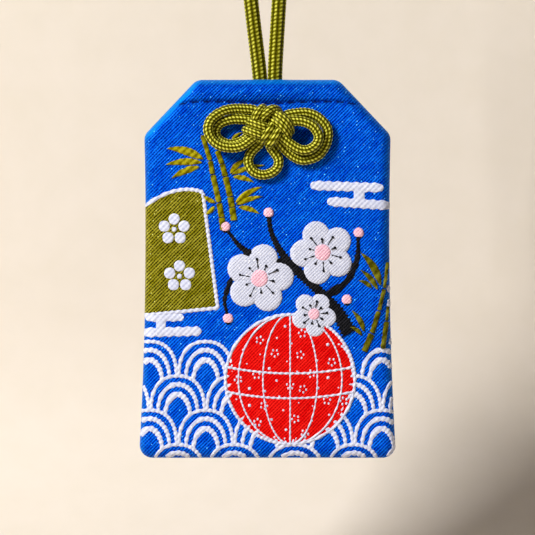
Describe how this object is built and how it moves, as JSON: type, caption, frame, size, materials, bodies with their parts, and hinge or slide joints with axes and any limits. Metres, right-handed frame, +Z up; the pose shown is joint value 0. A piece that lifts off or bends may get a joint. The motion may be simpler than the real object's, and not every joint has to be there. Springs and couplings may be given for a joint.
{
  "type": "omamori charm",
  "caption": "Flat brocade charm pouch with chamfered shoulders, sewn shut round a wrapped tablet, hanging by a braided cord loop that is tied in a flower knot on its front.",
  "frame": {"origin": "where a peg carries the hanging loop, on the inner side of the loop's crown", "axes": "+Z up, the face with the knot looks along -Y, +X to the right of someone looking at that face"},
  "size_m": [0.0476, 0.0117, 0.1332],
  "materials": {
    "blue_brocade": "twill-woven silk brocade, satin sheen",
    "blue_thread": "spun sewing thread",
    "olive_cord": "round braid, slight sheen",
    "fused_lining": "matt",
    "wadding": "matt, soft",
    "grey_card": "matt",
    "wrapper_paper": "matt",
    "pale_wood": "planed, unfinished"
  },
  "bodies": {
    "loop": {"hanging_loop": "olive_cord"},
    "pouch": {"front_panel": "blue_brocade", "back_panel": "blue_brocade", "front_lining": "fused_lining", "back_lining": "fused_lining", "wadding_sheet": "wadding", "stiffener_card": "grey_card", "paper_wrapper": "wrapper_paper", "wooden_tablet": "pale_wood", "perimeter_seam_thread": "blue_thread", "front_hem_stitching": "blue_thread", "back_hem_stitching": "blue_thread", "left_cord_run": "olive_cord", "right_cord_run": "olive_cord"},
    "knot": {"knot_core": "olive_cord", "left_loop_outer": "olive_cord", "left_loop_inner": "olive_cord", "right_loop_outer": "olive_cord", "right_loop_inner": "olive_cord", "bottom_loop": "olive_cord"}
  },
  "joints": [
    {"name": "pouch_swing", "type": "hinge", "parent": "loop", "child": "pouch", "pos_m": [0, 0, -0.0586], "axis": [1, 0, 0], "range_deg": [-60, 60]},
    {"name": "knot_lift", "type": "hinge", "parent": "pouch", "child": "knot", "pos_m": [0, -0.0034, -0.0644], "axis": [-1, 0, 0], "range_deg": [0, 45]}
  ]
}
